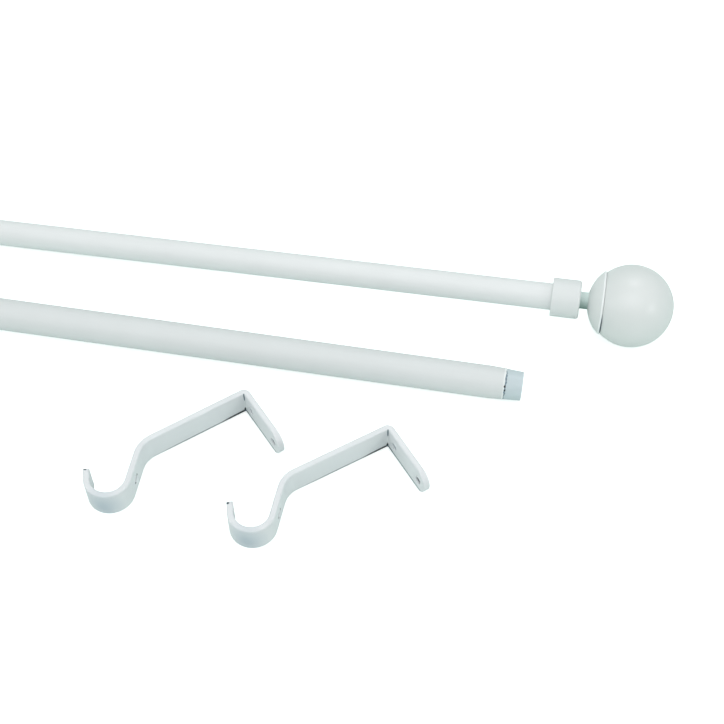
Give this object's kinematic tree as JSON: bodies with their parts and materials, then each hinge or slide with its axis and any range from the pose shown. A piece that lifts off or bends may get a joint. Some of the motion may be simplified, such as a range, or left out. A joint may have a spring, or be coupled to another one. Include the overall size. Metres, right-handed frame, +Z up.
{
  "type": "extendable curtain rod",
  "caption": "Extendable white curtain rod with ball finials and ferruled centre tube, laid out with its loose end rod and two bent strip wall brackets.",
  "frame": {"origin": "on the surface that everything lies on, under the middle of the whole laid-out kit", "axes": "+X along the centre tube towards its open right mouth, +Y towards the loose rod, +Z up"},
  "size_m": [0.8948, 0.2056, 0.0488],
  "materials": {
    "white_tube": "satin white paint on steel tube",
    "white_bracket": "satin white powder coat on steel strip",
    "white_plastic": "satin white moulded and painted plastic",
    "ferrule_plastic": "cloudy bluish moulded plastic",
    "inner_plastic": "plain natural plastic",
    "zinc_screw": "bright zinc plate"
  },
  "bodies": {
    "laid_out_kit": {"centre_tube": "white_tube", "right_ferrule": "ferrule_plastic", "left_ferrule": "ferrule_plastic", "right_thin_tube": "white_tube", "right_tip_plug": "ferrule_plastic", "bracket_1": "white_bracket", "bracket_2": "white_bracket"},
    "left_rod": {"left_thin_tube": "white_tube", "left_tip_plug": "ferrule_plastic"},
    "left_finial": {"left_finial_shank": "inner_plastic", "left_finial_screw": "zinc_screw", "left_collar": "white_plastic", "left_neck": "white_plastic"},
    "left_knob": {"left_base_cap": "white_plastic", "left_ball": "white_plastic"},
    "right_finial": {"right_finial_shank": "inner_plastic", "right_finial_screw": "zinc_screw", "right_collar": "white_plastic", "right_neck": "white_plastic"},
    "right_knob": {"right_base_cap": "white_plastic", "right_ball": "white_plastic"}
  },
  "joints": [
    {"name": "left_rod_slide", "type": "slide", "parent": "laid_out_kit", "child": "left_rod", "axis": [-0.9998, 0, 0.0194], "range_m": [0, 0.27]},
    {"name": "left_finial_pull", "type": "slide", "parent": "left_rod", "child": "left_finial", "axis": [-0.9998, 0, 0.0194], "range_m": [0, 0.032]},
    {"name": "left_ball_turn", "type": "hinge", "parent": "left_finial", "child": "left_knob", "pos_m": [-0.42297, 0.02083, 0.0244], "axis": [-0.9998, 0, 0.0194], "continuous": true},
    {"name": "right_finial_pull", "type": "slide", "parent": "laid_out_kit", "child": "right_finial", "axis": [0.9986, -0.0328, 0.0413], "range_m": [0, 0.032]},
    {"name": "right_ball_turn", "type": "hinge", "parent": "right_finial", "child": "right_knob", "pos_m": [0.42299, 0.07843, 0.0244], "axis": [0.9986, -0.0328, 0.0413], "continuous": true}
  ]
}
